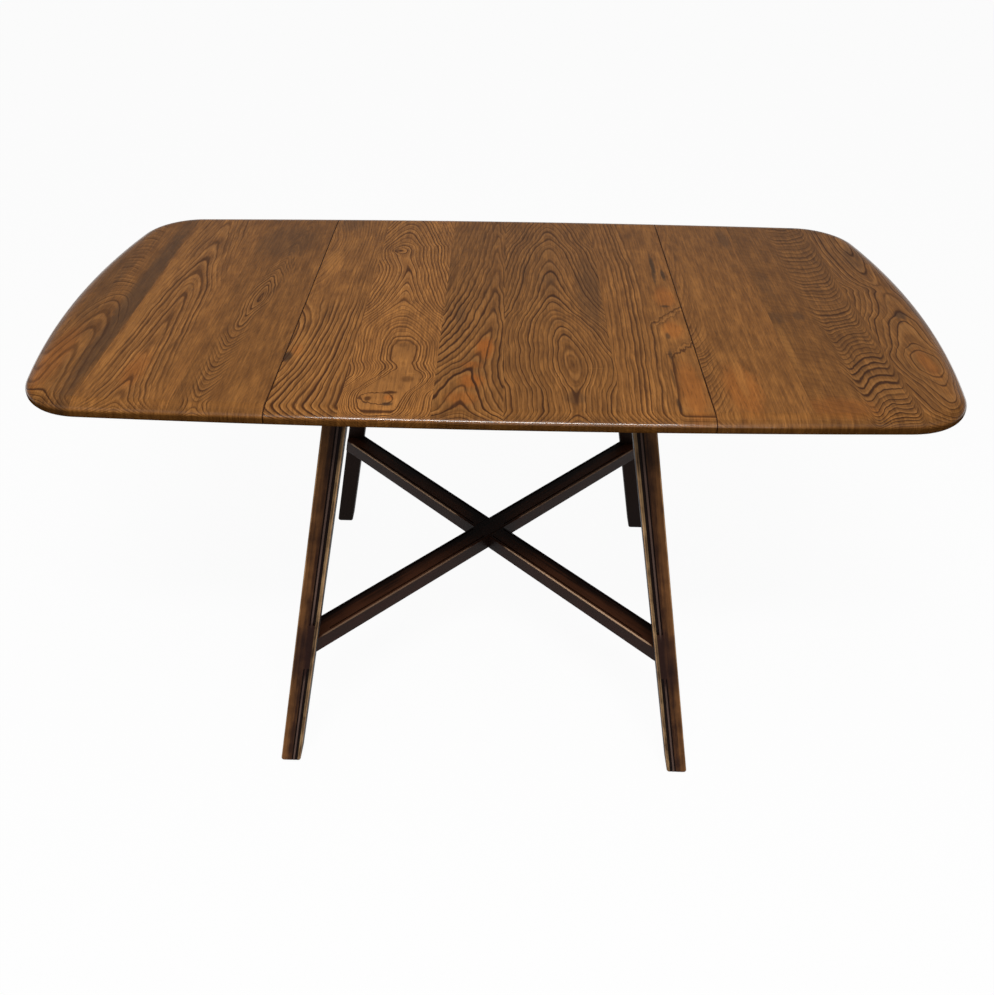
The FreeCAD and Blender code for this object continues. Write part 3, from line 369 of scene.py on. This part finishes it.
# Each board's figure is a set of growth rings cut lengthwise; most values may change along the
# board, as points.
# Figure: the spine is the line that the rings arch over, as x at places along the board; the rings
# are how many have been crossed along the spine; the pitch is the spacing of the lines beside it; a
# blunt figure has round arches; the lean makes the lines closer on the right of the spine than on
# the left; a core is the half width of a plain middle that the lines run round; the cup shifts the
# rings down the edge; the wobble bends the lines; smile and zigzag shift the rings along the board,
# by x; a ceiling is the most rings there are; swells add rings round a place.
# Lines: the reach is how far from the spine they stay strong; fade is their strength and bold their
# width.
# Marks: stains as (colour, x, y, half width, half length, amount). Rims: dark outlines as (x, y,
# half width, half length, line width, amount).
BOARDS = {
    "left_leaf_outer_board": dict(
        spine=((FRONT, -622), (-212, -627), (-140, -622), (0, -622), (50, -632), (110, -637),
               (BACK, -641)),
        rings=tips(-390, back=(-212, -135, -78, -38, -8, 12, 30, 46, 61, 76, 92, 108, 123, 138, 153,
                               169, 186, 203, 221, 240, 260, 281, 303, 326)),
        pitch=9, blunt=((FRONT, 1.2), (-120, 2.2), (0, 3.2), (BACK, 3.2)),
        reach=((FRONT, 60), (-60, 46), (40, 24), (BACK, 15)),
        bold=((FRONT, 0.95), (0, 0.75), (BACK, 0.8)),
        fade=((FRONT, 1.0), (60, 0.9), (200, 0.6), (BACK, 0.45)), tone=0.84, seed=1,
        marks=((GREY_WOOD, -590, -20, 20, 420, 0.75), (GREY_WOOD, -655, 60, 22, 200, 0.4),
               (WARM_WOOD, -645, -230, 22, 120, 0.45))),
    "left_leaf_middle_board": dict(
        spine=((FRONT, -513), (0, -512), (150, -516), (BACK, -515)),
        rings=tips(-390, back=(-337, -297, -220, -103, -5, 42, 83, 140, 228, 320)), pitch=7.5,
        blunt=((FRONT, 0.8), (-60, 1.0), (60, 2.0), (BACK, 2.2)), reach=60, fade=0.85, tone=1.0,
        seed=2,
        marks=((PALE_WOOD, -562, 0, 10, 380, 0.5), (PALE_WOOD, -512, 280, 14, 30, 0.4),
               (WARM_WOOD, -513, -260, 18, 60, 0.4))),
    "left_leaf_inner_board": dict(
        spine=((FRONT, -403), (-245, -400), (-130, -395), (-75, -391), (-12, -385), (60, -381),
               (120, -374), (BACK, -350)),
        rings=tips(-12, front=(-48, -75, -112, -130, -143, -155, -168, -181, -194, -207, -220, -233,
                               -246, -260, -273, -287, -301, -316, -331, -346, -362),
                   back=(38, 57, 75, 88, 100, 112, 125, 140, 158, 176, 196, 218, 242, 266, 290,
                         314, 338)),
        pitch=5, blunt=((FRONT, 2.0), (-140, 1.6), (-60, 0.6), (60, 0.6), (BACK, 1.5)), reach=24,
        fade=((FRONT, 1.0), (60, 1.0), (140, 0.5), (180, 0.1), (BACK, 0.3)), tone=0.85, seed=3,
        marks=((EARLY_WOOD, -385, -12, 4, 18, 0.5), (GREY_WOOD, -385, 240, 60, 90, 0.4),
               (PALE_WOOD, -350, -320, 14, 40, 0.4))),
    "centre_far_left_board": dict(
        spine=((FRONT, -207), (-100, -197), (BACK, -190)), rings=((FRONT, 0), (BACK, 0.1)),
        pitch=((FRONT, 12), (-300, 9.5), (-200, 7.5), (0, 6.5), (BACK, 7)), blunt=0.2, bold=1.05,
        cup=-0.35,
        fade=((FRONT, 1.25), (-70, 1.05), (10, 0.35), (60, 0.25), (150, 0.4), (BACK, 0.35)),
        tone=1.0, seed=4, swells=((-316, 0, 36, 95, -5.0), (-312, 250, 60, 90, 5.0)),
        marks=((PALE_WOOD, -288, -175, 13, 45, 0.6), (WARM_WOOD, -290, -190, 9, 20, 0.4),
               (DARK_MINERAL, -302, -214, 9, 18, 0.9), (PALE_WOOD, -285, 150, 18, 60, 0.75),
               (PALE_WOOD, -262, 235, 16, 40, 0.5), (PALE_WOOD, -288, -70, 14, 24, 0.4),
               (GREY_WOOD, -275, 330, 30, 40, 0.4))),
    "centre_left_board": dict(
        spine=((FRONT, -152), (-345, -152), (-325, -151), (-300, -140), (-275, -128), (-252, -122),
               (-235, -124), (-215, -129), (-180, -130), (-145, -134), (-100, -141), (0, -146),
               (100, -148), (200, -163), (BACK, -162)),
        core=((FRONT, 6), (-374, 10), (-366, 17), (-357, 23), (-345, 27), (-325, 33), (-300, 35),
              (-275, 28), (-252, 17), (-235, 9), (-215, 14), (-185, 15), (-165, 12), (-150, 8),
              (-130, 5), (-100, 3), (0, 0), (BACK, 0)),
        rings=((FRONT, 3.0), (-373, 2.0), (-364, 0.85), (-195, 0.85), (-160, 0.9), (-148, 1.6),
               (-137, 2.4), (-125, 3), (-110, 4), (-97, 5), (-85, 6), (-72, 7), (-60, 8), (-47, 9),
               (-30, 10), (-12, 11), (22, 12), (55, 13), (108, 14), (222, 15), (240, 16), (262, 17),
               (288, 18), (310, 19), (333, 20), (355, 21), (BACK, 22)),
        pitch=((FRONT, 5.4), (-150, 5.4), (-60, 6), (BACK, 6)),
        blunt=((FRONT, 0.4), (-200, 0.4), (-150, 1.5), (-120, 2.6), (0, 1.6), (110, 1.4),
               (180, 2.5), (BACK, 4.0)),
        wobble=0.7, cup=-0.2, bold=((FRONT, 1.25), (-180, 1.2), (-100, 1.0), (BACK, 1.0)),
        fade=((FRONT, 1.0), (-190, 0.95), (-150, 0.75), (-100, 0.75), (-40, 1.0), (120, 1.0),
              (BACK, 0.75)),
        tone=1.16, seed=5,
        swells=((-175, 205, 16, 14, -2.0), (-149, -160, 8, 10, 0.3), (-115, -160, 8, 10, 0.3)),
        rims=((-155, -330, 23, 16, 3.0, 0.9),),
        marks=((EARLY_WOOD, -176, 203, 9, 9, 0.6), (EARLY_WOOD, -117, -274, 11, 10, 0.55),
               (EARLY_WOOD, -134, -168, 8, 9, 0.35), (EARLY_WOOD, -168, -331, 6, 7, 0.8),
               (EARLY_WOOD, -138, -313, 11, 5, 0.9), (DARK_MINERAL, -140, -345, 9, 6, 0.9),
               (WARM_WOOD, -139, -328, 7, 9, 0.75), (PALE_WOOD, -126, -205, 12, 30, 0.3),
               (PALE_WOOD, -145, -40, 26, 30, 0.45), (PALE_WOOD, -115, -257, 12, 0.8, 0.7))),
    "centre_middle_board": dict(
        spine=((FRONT, -38), (-295, -38), (-250, -32), (-205, -20), (-118, -3), (-40, 3),
               (BACK, 6)),
        rings=((FRONT, 0.4), (-345, 1), (-295, 2), (-250, 3), (-205, 4), (-118, 5), (-45, 6),
               (30, 7), (110, 8), (190, 9), (270, 10), (350, 11), (BACK, 11.5)),
        pitch=((FRONT, 13), (-250, 11), (-120, 8), (BACK, 6)),
        blunt=((FRONT, 0.9), (-200, 0.8), (BACK, 0.5)), lean=0.22, wobble=1.7,
        bold=((FRONT, 1.05), (-100, 0.95), (BACK, 0.9)),
        fade=((FRONT, 1.35), (-100, 1.25), (0, 1.0), (120, 0.6), (BACK, 0.4)), tone=0.85, seed=6,
        marks=((WARM_WOOD, -9, -172, 15, 38, 1.0), (WARM_WOOD, -26, -276, 20, 24, 0.9),
               (WARM_WOOD, -38, -325, 25, 22, 0.6), (WARM_WOOD, -28, -228, 18, 12, 0.6),
               (PALE_WOOD, -26, -66, 8, 30, 0.5), (GREY_WOOD, -52, -60, 10, 40, 0.5))),
    "centre_right_board": dict(
        spine=((FRONT, 120), (-300, 122), (-210, 120), (-140, 112), (-100, 108), (0, 99), (100, 97),
               (BACK, 101)),
        rings=((FRONT, 3), (-345, 2.4), (-300, 2), (-270, 1), (-215, 0.2), (-172, 1), (-130, 2),
               (-100, 3), (-75, 4), (-55, 5), (-38, 6), (-12, 7), (15, 8), (58, 9), (115, 10),
               (165, 11), (215, 12), (240, 13), (262, 14), (300, 15), (330, 16), (355, 17),
               (BACK, 18)),
        pitch=7, blunt=((FRONT, 1.0), (-215, 1.2), (-60, 2.2), (BACK, 2.4)), bold=0.85,
        fade=((FRONT, 0.95), (0, 1.0), (BACK, 0.75)), tone=0.84, seed=7,
        marks=((GREY_WOOD, 160, 30, 24, 160, 0.5), (GREY_WOOD, 120, -318, 18, 20, 0.5),
               (PALE_WOOD, 152, -231, 20, 0.8, 0.8), (GREY_WOOD, 92, 85, 16, 24, 0.4),
               (PALE_WOOD, 100, 195, 14, 22, 0.3))),
    "centre_far_right_board": dict(
        spine=((FRONT, 168), (-200, 174), (60, 178), (200, 174), (BACK, 165)),
        rings=((FRONT, 0), (BACK, 0.1)), pitch=((FRONT, 7.2), (-100, 7.8), (60, 8), (BACK, 7.5)),
        blunt=0.2,
        ceiling=((FRONT, 12.6), (-185, 12.5), (-140, 10.5), (-60, 10.3), (-25, 8.6), (BACK, 8.3)),
        fade=((FRONT, 0.85), (-60, 0.8), (BACK, 0.6)), tone=0.97, seed=8,
        marks=((WARM_WOOD, 284, -290, 20, 90, 0.5), (WARM_WOOD, 282, -100, 18, 34, 0.55),
               (WARM_WOOD, 284, 20, 20, 44, 0.5), (PALE_WOOD, 286, 290, 10, 50, 0.4),
               (DARK_MINERAL, 260, -335, 3, 22, 0.9), (DARK_MINERAL, 261, -255, 2.5, 30, 0.5),
               (DARK_MINERAL, 278, 150, 5, 52, 0.8), (DARK_MINERAL, 292, 112, 4, 28, 0.8),
               (DARK_MINERAL, 275, 100, 3, 34, 0.6), (DARK_MINERAL, 280, -15, 8, 5, 0.7),
               (DARK_MINERAL, 271, -122, 4, 13, 0.7), (DARK_MINERAL, 267, -185, 3.5, 16, 0.6))),
    "right_leaf_inner_board": dict(
        spine=((FRONT, 300), (BACK, 300)), rings=((FRONT, 20), (-225, 10), (-100, 0), (BACK, -10)),
        pitch=6, blunt=2.5, reach=40,
        fade=((FRONT, 0.5), (-230, 0.75), (-100, 0.75), (-70, 0.2), (BACK, 0.15)), tone=0.94,
        seed=9,
        marks=((WARM_WOOD, 355, -285, 28, 80, 0.5), (GREY_WOOD, 425, 290, 12, 60, 0.5),
               (PALE_WOOD, 358, -250, 9, 70, 0.5), (PALE_WOOD, 340, 60, 14, 120, 0.3))),
    "right_leaf_middle_board": dict(
        spine=((FRONT, 548), (BACK, 548)),
        rings=((FRONT, 30), (-300, 24), (-240, 21), (-150, 15), (-20, 5), (0, 4), (100, -3),
               (220, -10), (340, -17), (BACK, -19)),
        pitch=1000, blunt=1.0,
        smile=((430, 60), (500, 24), (515, 8), (525, 2), (540, 0), (555, 4), (568, 12), (578, 28),
               (590, 80)),
        zigzag=((440, 60), (505, 30), (515, 6), (522, -10), (530, -2), (545, 20), (555, 26),
                (565, 28), (575, 28), (581, 34), (586, 50), (592, 90)),
        reach=46, wobble=1.3, cup=-0.35,
        fade=((FRONT, 1.2), (-180, 1.0), (-80, 0.8), (0, 0.85), (BACK, 0.55)), tone=0.76, seed=10,
        marks=((GREY_WOOD, 488, -42, 10, 18, 0.6), (GREY_WOOD, 452, -50, 16, 26, 0.4),
               (GREY_WOOD, 460, 80, 14, 60, 0.3), (PALE_WOOD, 447, -150, 6, 90, 0.9),
               (WARM_WOOD, 480, -330, 60, 30, 0.4))),
    "right_leaf_outer_board": dict(
        spine=((FRONT, 632), (-300, 640), (-195, 640), (-60, 648), (50, 657), (82, 650), (150, 643),
               (BACK, 650)),
        rings=((FRONT, 5.3), (-345, 4), (-315, 3), (-260, 2), (-230, 1), (-195, 0.3), (-160, 1),
               (-135, 2), (-60, 3), (-28, 4), (50, 5), (66, 5.4), (82, 5), (140, 4), (230, 3),
               (BACK, 2)),
        pitch=8.5, blunt=((FRONT, 1.4), (-60, 2.5), (50, 2.0), (BACK, 1.2)), cup=-0.35, bold=0.7,
        tone=0.82, seed=11,
        marks=((GREY_WOOD, 652, -35, 10, 14, 0.8), (WARM_WOOD, 640, -195, 12, 50, 0.4),
               (GREY_WOOD, 640, 200, 16, 60, 0.4), (GREY_WOOD, 600, 340, 30, 30, 0.5))),
}


def level(place, value):
    """A plain number as it is, and (place, value) points as a curve along a field."""
    return value if isinstance(value, (int, float)) else place.along(value)


def bend(s, size, layer, wobble):
    """A shift of the lines, in waves."""
    width, length, height = size
    return s.grain(width, length, layer) * (height * wobble)


def growth_rings(s, drop, seed, spine, rings, pitch, blunt, lean=0.0, core=None, cup=0.35,
                 wobble=1.0, smile=None, zigzag=None, ceiling=None, swells=()):
    """How many rings have been crossed at each place, and how far it lies from the spine."""
    x = s.x + bend(s, BROAD_BEND, seed, wobble) + bend(s, FINE_BEND, seed, wobble)
    y = s.y + bend(s, LENGTH_BEND, seed + 10, wobble)
    if smile:
        front = s.y.smooth(*ZIGZAG_FRONT)
        y = y - s.x.along(smile) * (1 - front) - s.x.along(zigzag) * front
    aside = x - s.y.along(spine)
    away = aside.size()
    outside = (away - level(s.y, core) * away.smooth(*CORE_FADE)).most(0) if core else aside
    across = outside / level(s.y, pitch) * (aside.math("SIGN") * lean + 1.0)
    roundness = level(s.y, blunt)
    count = y.along(rings) + (across * across + roundness * roundness).math("SQRT") - roundness
    for place_x, place_y, half_width, half_length, added in swells:
        count = count + s.patch(place_x, place_y, half_width, half_length) * added
    if ceiling:
        ragged = s.grain(8, 20, seed + 20) * CEILING_RAGGED
        slant = s.y - (s.x - CEILING_MIDDLE) * CEILING_SLANT + ragged
        count = count.math("SMOOTH_MIN", slant.along(ceiling), 1.0)
    count = count - drop * cup
    count = count + s.noise(count * 0.6, seed * 3.7, 0.0) * 0.7
    return count, away


def elm_board(name, tone, seed, reach=None, fade=1.0, bold=1.0, rims=(), marks=(), **figure):
    """Lacquered elm with the growth rings of one board."""
    s = Surface(name + "_elm")
    drop = TOP_HEIGHT - s.z
    side = drop.smooth(*SHEER_SIDE)
    count, away = growth_rings(s, drop, seed, **figure)

    # Dark lines of early wood and pale ones of late wood, each ring with its own strength and width
    share = count.math("FRACT")
    whole = count.math("FLOOR") + seed * 50
    strength = (s.chance(whole) * 0.6 + 0.4) * (1 - side * 0.6)
    flow = s.noise(count * 1.8, s.y / 160, seed + 110, detail=3, roughness=0.65)
    if reach:
        near = 1 - (away / level(s.y, reach)).smooth(0.5, 1.0) * 0.85
        strength, flow = strength * near, flow * near
    strength = strength * level(s.y, fade)
    width = (s.chance(whole + 0.5) * 0.8 + 0.5) * level(s.y, bold)
    early = share.smooth(*EARLY_START) * (share / width).smooth(*EARLY_END)
    late = share.smooth(*LATE_START) * share.smooth(*LATE_END) * strength.least(1.0)
    lines = early * strength

    # Grain of the wood, from fine to broad
    pores = s.grain(0.45, 9, s.z / 4 + seed, detail=1).smooth(0.12, 0.24)
    fibre = s.grain(0.9, 45, s.z / 6 + seed, detail=2)
    flecks = s.grain(2.4, 24, seed + 70, detail=2).smooth(0.06, 0.2)
    streaks = s.grain(3, 80, s.z / 12 + seed, detail=3, roughness=0.6)
    bands = s.grain(7, 170, seed + 60, detail=3)
    ragged = s.grain(8, 22, seed + 30, detail=3)
    mottle = s.grain(16, 50, seed + 80, detail=4, roughness=0.6)
    cloud = s.grain(90, 260, seed + 40, detail=3)

    # Colours: ground, stains, lines, flecks, pores and the line at the leaf joint
    pale = (streaks * 0.5 + mottle * 0.4 + flow * 0.45).smooth(-0.15, 0.3)
    wood = s.mix(pale, LATE_WOOD, PALE_WOOD)
    wood = s.mix(late * 0.42, wood, LINE_WOOD)
    for colour, place_x, place_y, half_width, half_length, amount in marks:
        mark = (s.patch(place_x, place_y, half_width, half_length) + ragged * 0.6).smooth(0.2, 0.8)
        wood = s.mix(mark * amount, wood, colour)
    for place_x, place_y, half_width, half_length, line_width, amount in rims:
        uneven = s.grain(9, 9, seed + 90, detail=2) * 1.6 + 0.9
        apart_x, apart_y = (s.x - place_x) / half_width, (s.y - place_y) / half_length
        apart = (apart_x * apart_x + apart_y * apart_y).math("SQRT") + ragged * 0.8
        off_rim = ((apart - 1.0) * half_width).size() / uneven
        outline = off_rim.smooth(line_width, line_width * 0.2)
        lines = (lines * apart.smooth(0.75, 1.0)).most(outline * amount)
    wood = s.mix((lines * 0.95).least(0.95), wood, EARLY_WOOD)
    wood = s.mix(flecks * 0.36, wood, EARLY_WOOD)
    wood = s.mix(pores * (early * 0.4 + 0.12), wood, DARK_MINERAL)
    wood = s.mix((s.x.size() - JOINT_PLACE).size().smooth(*JOINT_LINE) * 0.6, wood, JOINT_DARK)

    # Light and dark: the grain, then painted shade towards the back and on the slope, and darker on
    # the side, partly stain and partly painted shade
    grain = cloud * 0.35 + bands * 0.4 + streaks * 0.45 + mottle * 0.35 + flow * 0.55 + fibre * 0.5
    grain = (grain * (1 - side * 0.7) + 1.0) * (1 - s.y.smooth(*BACK_PART) * BACK_PAINTED_SHADE)
    wood = s.shade(wood, grain * (1 - drop.smooth(*SLOPE_PAINTED_SHADE) * 0.22) * (1 - side * 0.62) * tone)

    # Lacquer: smoother on the slope, with a clear coat on the nose, and dull below
    roughness = lines * 0.1 + fibre * 0.16 + 0.36
    roughness = roughness - drop.smooth(*SLOPE_SHINE) * 0.17 + drop.smooth(*UNDERSIDE) * 0.45
    nose = drop.smooth(*NOSE_START) * drop.smooth(*NOSE_END)
    plug(s.tree, s.shader.inputs["Coat Weight"], nose * NOSE_COAT)
    s.shader.inputs["Coat Roughness"].default_value = NOSE_COAT_ROUGHNESS
    height = (1 - pores * 0.5 - lines * 0.4) * drop.smooth(*FLAT_FACE)
    return s.finish(wood, roughness, height, TOP_BUMP, (1 - side) * TOP_SPECULAR)


def dress_top():
    for name, board in BOARDS.items():
        dress(name, elm_board(name, **board))


# Legs: for the four alike, the outside is worn to brown, the arrises are gold from wear and painted
# highlight, and the inside stays near black.
# Distances from the middle of the table, at the foot and at the top: x of the inner face, y of the
# outer face.
LEG_HEIGHT = 699
LEG_FOOT_X, LEG_TOP_X, LEG_WIDTH = 324, 198, 35
LEG_FOOT_Y, LEG_TOP_Y, LEG_DEPTH = 374, 301, 41
LEG_INSIDE = srgb(33, 21, 16)
LEG_DARK = srgb(50, 28, 17)
LEG_BROWN = srgb(102, 66, 36)
LEG_STRIP = srgb(150, 120, 84)
LEG_BEAD = srgb(100, 80, 72)
LEG_PURPLE = srgb(44, 24, 24)
LEG_WORN_AND_HIGHLIGHT = srgb(192, 150, 106)
# Painted shade in sunk grooves, on the legs and the stretchers
GROOVE_PAINTED_SHADE = srgb(18, 8, 6)
# Painted light and shade: brightness along the leg, from the foot up, darkest up under the top
LEG_PAINTED_LIGHT_AND_SHADE = ((0, 1.15), (70, 1.05), (180, 0.85), (210, 0.72), (280, 0.72), (310, 0.9), (380, 0.92),
             (470, 0.72), (600, 0.55), (LEG_HEIGHT, 0.4))
# The gold of wear and painted highlight on the arrises is full below this height and none at the
# leg's top
WEAR_AND_HIGHLIGHT_BELOW = 560
# Heights between which the grooves stop at the stretcher
GAP_FOOT, GAP_HEAD = (183, 208), (315, 285)
# Shares of the leg's width, from its inner face: the pale strip, the grooves and the bead between
# them
STRIP_END = (0.18, 0.13)
GROOVES_START, GROOVES_END = (0.06, 0.12), (0.6, 0.5)
BEAD_START, BEAD_END = (0.28, 0.31), (0.39, 0.36)
# Shares of the leg's depth, from its outer face: the face itself, the depth of the grooves and the
# dark inside
LEG_FACE = (0.06, 0.02)
SUNK_START, SUNK_END = (0.012, 0.035), (0.3, 0.15)
INSIDE_DARK = (0.2, 0.6)
LEG_BUMP, LEG_SPECULAR = 0.12, 0.06


def leg_elm():
    s = Surface("leg_elm")
    aside = (s.x.size() - s.z * ((LEG_TOP_X - LEG_FOOT_X) / LEG_HEIGHT) - LEG_FOOT_X) / LEG_WIDTH
    inward = (s.z * ((LEG_TOP_Y - LEG_FOOT_Y) / LEG_HEIGHT) + LEG_FOOT_Y - s.y.size()) / LEG_DEPTH
    which = s.x.math("SIGN") * 3 + s.y.math("SIGN") * 7
    streaks = s.noise(aside * 7, inward * 7, s.z / 140 + which, detail=3)
    cloud = s.noise(aside * 1.5, inward * 1.5, s.z / 40 + which, detail=4)
    fibre = s.noise(aside * 40, inward * 40, s.z / 30 + which, detail=2)

    face = inward.smooth(*LEG_FACE)
    ragged_height = s.z + cloud * 60
    gap = ragged_height.smooth(*GAP_FOOT) * ragged_height.smooth(*GAP_HEAD)
    strip = (cloud + streaks).smooth(-0.35, 0.2) * aside.smooth(*STRIP_END) * face
    bead = aside.smooth(*BEAD_START) * aside.smooth(*BEAD_END) * face * (1 - gap)
    wood = s.mix((aside + streaks * 0.8 + cloud * 0.7).smooth(0.4, 0.95), LEG_DARK, LEG_BROWN)
    wood = s.mix(gap * 0.5, wood, LEG_PURPLE)
    wood = s.mix(strip * 0.9, wood, LEG_STRIP)
    wood = s.mix(bead * 0.7, wood, LEG_BEAD)
    # Painted light and shade along the leg by height, times the grain's own light and dark
    wood = s.shade(wood, s.z.along(LEG_PAINTED_LIGHT_AND_SHADE) * (cloud * 0.9 + streaks * 0.5 + 1.0))
    wood = s.mix(inward.smooth(*INSIDE_DARK), wood, LEG_INSIDE)

    # Gold on the outer arrises, partly wear and partly painted highlight
    edges = ((aside * 2 - 1).size()).least((inward * 2 - 1).size())
    wear_and_highlight = (edges + cloud * 0.16 + streaks * 0.12).smooth(0.84, 0.98) * inward.smooth(0.5, 0.15)
    wood = s.mix(wear_and_highlight * s.z.smooth(LEG_HEIGHT, WEAR_AND_HIGHLIGHT_BELOW) * 0.85, wood, LEG_WORN_AND_HIGHLIGHT)
    # Painted shade in the grooves, by their depth
    sunk = inward.smooth(*SUNK_START) * inward.smooth(*SUNK_END)
    groove_shade = sunk * aside.smooth(*GROOVES_START) * aside.smooth(*GROOVES_END)
    wood = s.mix(groove_shade * 0.95, wood, GROOVE_PAINTED_SHADE)
    wood = s.shade(wood, fibre * 0.5 + 1.0)
    roughness = fibre * 0.2 + streaks * 0.15 + 0.5 - wear_and_highlight * 0.08
    return s.finish(wood, roughness, fibre + streaks, LEG_BUMP, LEG_SPECULAR)


# Stretchers: reddish brown, darker towards the far side of the top, with a light line along the
# upper front arris, partly wear and partly painted highlight
STRETCHER_TURN = math.radians(45.93)
STRETCHER_HALF_WIDTH = 20.5
STRETCHER_TOP = 250
STRETCHER_TOP_DARK = srgb(20, 12, 9)
STRETCHER_TOP_RED = srgb(64, 36, 22)
STRETCHER_SIDE = srgb(40, 23, 16)
STRETCHER_SIDE_RED = srgb(46, 24, 18)
STRETCHER_WORN_AND_HIGHLIGHT = srgb(196, 160, 128)
# Distances from the crossing at which the wood is dark, and at which the line of wear and painted
# highlight starts and ends
CROSSING_DARK, WEAR_AND_HIGHLIGHT_START, WEAR_AND_HIGHLIGHT_END = (72, 27), (45, 90), (430, 400)
# Heights from the upper face: its own colour, the lines sunk into it and the arris of wear and
# painted highlight
UPPER_FACE, LINE_SUNK, ARRIS = (-4, -1), (-0.3, -1.2), (-4.5, -1.5)
# Shares of the half width at which the sunk lines end and the arris of wear and painted highlight
# starts
LINE_EDGE, ARRIS_EDGE = (0.84, 0.8), (0.88, 0.97)
STRETCHER_BUMP, STRETCHER_SPECULAR = 0.1, 0.07


def stretcher_elm(name, turn, worn_and_highlight):
    """Wood of one stretcher, turned about the middle of the table."""
    s = Surface(name + "_elm")
    along = s.x * math.cos(turn) + s.y * math.sin(turn)
    across = (s.y * math.cos(turn) - s.x * math.sin(turn)) / STRETCHER_HALF_WIDTH
    rise = s.z - STRETCHER_TOP
    apart = along.size()
    streaks = s.noise(along / 140, across * 4, s.z / 6, detail=3)
    cloud = s.noise(along / 50, across, s.z / 30, detail=3)
    fibre = s.noise(along / 30, across * 20, s.z, detail=2)

    reddish = (across * -0.6 + streaks * 1.4 + cloud * 0.6).smooth(-0.5, 0.3)
    top = s.mix(reddish, STRETCHER_TOP_DARK, STRETCHER_TOP_RED)
    side = s.mix((cloud + streaks).smooth(-0.2, 0.3), STRETCHER_SIDE, STRETCHER_SIDE_RED)
    wood = s.mix(rise.smooth(*UPPER_FACE), side, top)
    # Painted shade in the lines sunk into the upper face
    groove_shade = rise.smooth(*LINE_SUNK) * across.size().smooth(*LINE_EDGE)
    wood = s.mix(groove_shade * 0.9, wood, GROOVE_PAINTED_SHADE)
    wood = s.mix(apart.smooth(*CROSSING_DARK) * 0.7, wood, STRETCHER_TOP_DARK)
    # A light line on the upper front arris, partly wear and partly painted highlight
    arris = (across * -1).smooth(*ARRIS_EDGE) * rise.smooth(*ARRIS)
    ends = apart.smooth(*WEAR_AND_HIGHLIGHT_START) * apart.smooth(*WEAR_AND_HIGHLIGHT_END)
    wear_and_highlight = (arris * ends + cloud * 0.5 + streaks * 0.3).smooth(0.25, 0.7) * arris
    wood = s.mix(wear_and_highlight * worn_and_highlight, wood, STRETCHER_WORN_AND_HIGHLIGHT)
    wood = s.shade(wood, fibre * 0.5 + cloud * 0.4 + 1.0)
    roughness = fibre * 0.2 + streaks * 0.15 + 0.42
    return s.finish(wood, roughness, fibre + streaks, STRETCHER_BUMP, STRETCHER_SPECULAR)


# Pieces under the top
GRAIN_LENGTH, GRAIN_WIDTH, FIBRE_FINENESS = 70, 5, 6
RAIL_DARK, RAIL_LIGHT = srgb(46, 30, 20), srgb(74, 50, 34)
LOPER_DARK, LOPER_LIGHT = srgb(112, 78, 48), srgb(146, 106, 68)
DOWEL_DARK, DOWEL_LIGHT = srgb(136, 100, 66), srgb(164, 126, 88)
HINGE_STEEL, HINGE_TARNISH = srgb(150, 146, 138), srgb(92, 84, 74)
SCREW_STEEL, SCREW_TARNISH = srgb(160, 158, 152), srgb(100, 94, 86)


def plain_wood(name, dark, light, grain_along):
    """Straight-grained wood, its grain along x, y or z."""
    s = Surface(name)
    lengths = [GRAIN_LENGTH if axis == grain_along else GRAIN_WIDTH for axis in "xyz"]
    places = [place / length for place, length in zip((s.x, s.y, s.z), lengths)]
    grain = s.noise(*places, detail=4)
    fibre = s.noise(*(place * FIBRE_FINENESS for place in places), detail=2)
    wood = s.mix((grain + fibre * 0.3).smooth(-0.2, 0.2), dark, light)
    return s.finish(wood, fibre * 0.2 + 0.58, grain + fibre, bump_depth=0.15, specular=0.2)


def dull_metal(name, colour, tarnish):
    """Plated steel, dulled and scratched."""
    s = Surface(name)
    scratch = s.noise(s.x / 0.4, s.y / 14, s.z / 0.4, detail=2)
    stain = s.noise(s.x / 9, s.y / 9, s.z / 9, detail=4)
    s.shader.inputs["Metallic"].default_value = 1.0
    metal = s.mix(stain.smooth(0.0, 0.25), colour, tarnish)
    return s.finish(metal, scratch * 0.3 + 0.42, scratch, bump_depth=0.05, specular=0.5)


def dress_frame():
    """Legs, stretchers and everything under the top, by the record's slots where one will do."""
    by_slot = {
        "leg_elm": leg_elm(),
        "loper_wood": plain_wood("loper_wood", LOPER_DARK, LOPER_LIGHT, "x"),
        "dowel_wood": plain_wood("dowel_wood", DOWEL_DARK, DOWEL_LIGHT, "z"),
        "hinge_steel": dull_metal("hinge_steel", HINGE_STEEL, HINGE_TARNISH),
        "steel_screw": dull_metal("screw_steel", SCREW_STEEL, SCREW_TARNISH),
    }
    for part in frame["record"]["subparts"]:
        if part["material_slot"] in by_slot:
            dress(part["node"], by_slot[part["material_slot"]])
    long_rail = plain_wood("long_rail_wood", RAIL_DARK, RAIL_LIGHT, "x")
    cross_rail = plain_wood("cross_rail_wood", RAIL_DARK, RAIL_LIGHT, "y")
    for node in ("front_rail", "back_rail"):
        dress(node, long_rail)
    for node in ("left_cross_rail", "right_cross_rail", "middle_bearer"):
        dress(node, cross_rail)
    dress("upper_stretcher", stretcher_elm("upper_stretcher", STRETCHER_TURN, worn_and_highlight=0.25))
    dress("lower_stretcher", stretcher_elm("lower_stretcher", -STRETCHER_TURN, worn_and_highlight=0.9))


make_camera()
make_studio()
dress_top()
dress_frame()
bpy.context.scene.view_settings.view_transform = "Standard"
